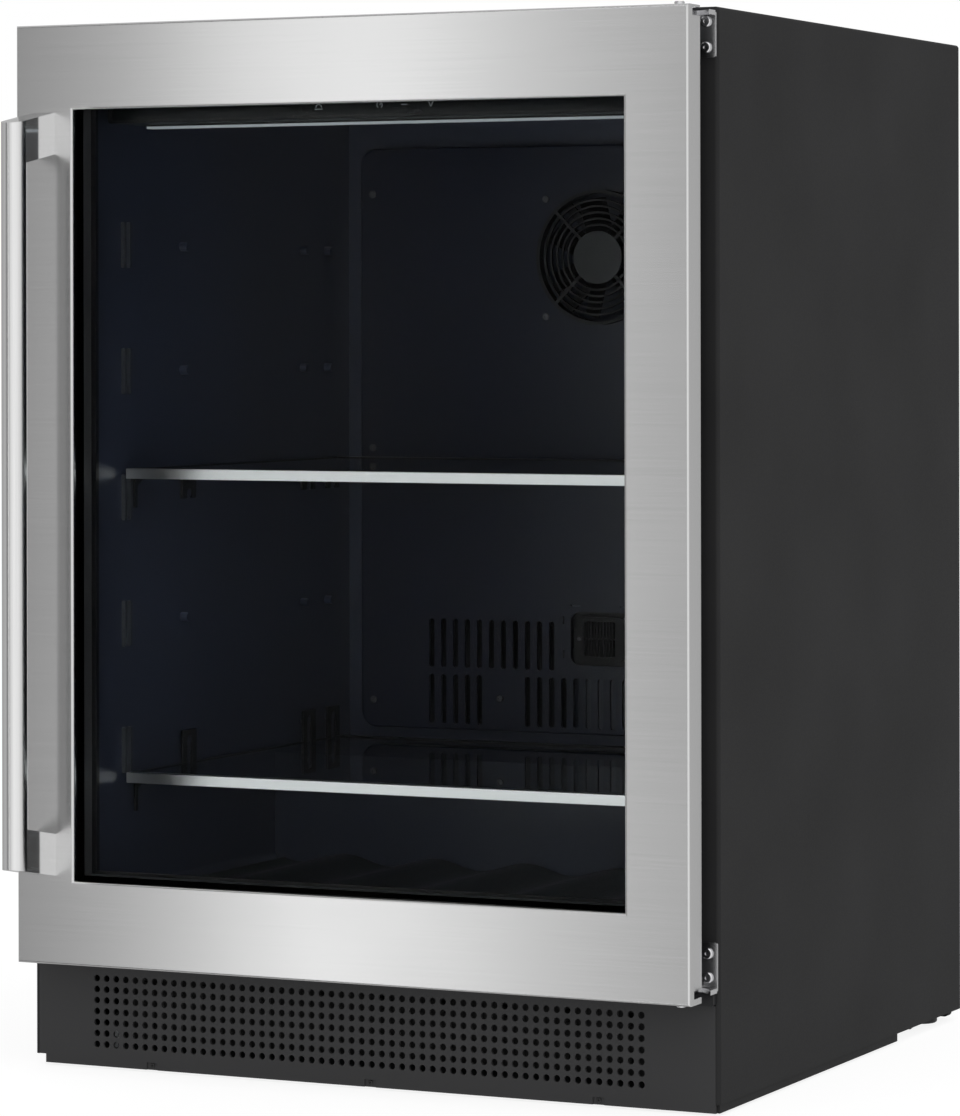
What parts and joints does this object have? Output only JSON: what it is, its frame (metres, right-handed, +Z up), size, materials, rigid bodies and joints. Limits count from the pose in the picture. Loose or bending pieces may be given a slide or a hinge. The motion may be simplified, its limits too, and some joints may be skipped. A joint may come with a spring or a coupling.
{
  "type": "undercounter refrigerator",
  "caption": "Undercounter refrigerator with a hinged glass door in a steel frame, pull handle, glass shelves, cavity fan, perforated kick grille and machine compartment.",
  "frame": {"origin": "on the floor, in the middle of the whole object's width and depth", "axes": "+Z up, -Y out of the door's front, +X towards the hinges"},
  "size_m": [0.61, 0.65, 0.857],
  "materials": {
    "cabinet_paint": "fine-textured charcoal powder coat",
    "stainless": "brushed stainless with a vertical grain",
    "polished_steel": "satin to polished bright steel",
    "zinc_steel": "zinc-plated steel",
    "galvanised": "plain galvanised sheet",
    "liner_plastic": "satin black vacuum-formed liner",
    "black_plastic": "satin black moulded plastic",
    "grille_plastic": "satin charcoal moulded plastic",
    "foam_core": "foamed insulation, hidden",
    "door_glass": "dark tinted door glass",
    "shelf_glass": "clear shelf glass",
    "touch_glass": "gloss black touch panel",
    "lamp": "frosted lamp strip",
    "seal_rubber": "soft black seal",
    "aluminium_trim": "satin anodised aluminium",
    "fin_aluminium": "bare aluminium",
    "compressor_paint": "gloss black enamel"
  },
  "bodies": {
    "cabinet": {"outer_wrapper": "cabinet_paint", "rear_panel": "galvanised", "rear_cover": "cabinet_paint", "panel_screws": "zinc_steel", "cavity_liner": "liner_plastic", "foam_insulation": "foam_core", "front_rail": "cabinet_paint", "machine_ceiling": "galvanised", "base_pan": "galvanised", "plinth_rails": "cabinet_paint", "kick_grille": "grille_plastic", "hinge_brackets": "zinc_steel", "hinge_pins": "zinc_steel", "hinge_screws": "zinc_steel", "hinge_pad": "black_plastic", "evaporator_cover": "liner_plastic", "cavity_screws": "zinc_steel", "fan_guard": "black_plastic", "evaporator_fan_motor": "black_plastic", "evaporator_coil": "fin_aluminium", "sensor_box": "black_plastic", "wall_ribs": "liner_plastic", "shelf_pegs": "liner_plastic", "control_housing": "black_plastic", "touch_panel": "touch_glass", "light_bar": "lamp", "compressor": "compressor_paint", "compressor_mounts": "seal_rubber", "condenser_coil": "compressor_paint", "fan_shroud": "galvanised", "condenser_fan_motor": "black_plastic", "drip_tray": "black_plastic", "power_inlet": "black_plastic", "roller_brackets": "galvanised"},
    "door": {"door_skin": "stainless", "door_inner_frame": "black_plastic", "outer_glass": "door_glass", "glass_spacer": "black_plastic", "inner_glass": "door_glass", "door_gasket": "seal_rubber", "hinge_blocks": "galvanised", "hinge_bushings": "black_plastic", "handle_tube": "polished_steel", "handle_posts": "polished_steel", "handle_screws": "zinc_steel"},
    "upper_shelf": {"upper_shelf_glass": "shelf_glass", "upper_shelf_trim": "aluminium_trim", "upper_shelf_frame": "black_plastic"},
    "lower_shelf": {"lower_shelf_glass": "shelf_glass", "lower_shelf_trim": "aluminium_trim", "lower_shelf_frame": "black_plastic"},
    "cradle": {"bottle_cradle": "liner_plastic"},
    "cavity_fan": {"evaporator_fan": "black_plastic"},
    "cooling_fan": {"condenser_fan": "black_plastic"},
    "foot_front_left": {"front_left_foot": "black_plastic"},
    "foot_front_right": {"front_right_foot": "black_plastic"},
    "foot_rear_left": {"rear_left_foot": "black_plastic"},
    "foot_rear_right": {"rear_right_foot": "black_plastic"},
    "roller_left": {"left_roller": "black_plastic"},
    "roller_right": {"right_roller": "black_plastic"}
  },
  "joints": [
    {"name": "door_hinge", "type": "hinge", "parent": "cabinet", "child": "door", "pos_m": [0.2835, -0.253, 0.4718], "axis": [0, 0, 1], "range_deg": [0, 100]},
    {"name": "upper_shelf_lift", "type": "slide", "parent": "cabinet", "child": "upper_shelf", "axis": [0, 0, 1], "range_m": [0, 0.06]},
    {"name": "lower_shelf_lift", "type": "slide", "parent": "cabinet", "child": "lower_shelf", "axis": [0, 0, 1], "range_m": [0, 0.08]},
    {"name": "cradle_lift", "type": "slide", "parent": "cabinet", "child": "cradle", "axis": [0, 0, 1], "range_m": [0, 0.05]},
    {"name": "cavity_fan_spin", "type": "hinge", "parent": "cabinet", "child": "cavity_fan", "pos_m": [0, 0.247, 0.6693], "axis": [0, 1, 0], "continuous": true},
    {"name": "cooling_fan_spin", "type": "hinge", "parent": "cabinet", "child": "cooling_fan", "pos_m": [-0.11, 0.166, 0.101], "axis": [0, 1, 0], "continuous": true},
    {"name": "front_left_foot_adjust", "type": "slide", "parent": "cabinet", "child": "foot_front_left", "axis": [0, 0, -1], "range_m": [0, 0.015]},
    {"name": "front_right_foot_adjust", "type": "slide", "parent": "cabinet", "child": "foot_front_right", "axis": [0, 0, -1], "range_m": [0, 0.015]},
    {"name": "rear_left_foot_adjust", "type": "slide", "parent": "cabinet", "child": "foot_rear_left", "axis": [0, 0, -1], "range_m": [0, 0.015]},
    {"name": "rear_right_foot_adjust", "type": "slide", "parent": "cabinet", "child": "foot_rear_right", "axis": [0, 0, -1], "range_m": [0, 0.015]},
    {"name": "left_roller_spin", "type": "hinge", "parent": "cabinet", "child": "roller_left", "pos_m": [-0.278, 0.249, 0.014], "axis": [1, 0, 0], "continuous": true},
    {"name": "right_roller_spin", "type": "hinge", "parent": "cabinet", "child": "roller_right", "pos_m": [0.278, 0.249, 0.014], "axis": [1, 0, 0], "continuous": true}
  ]
}
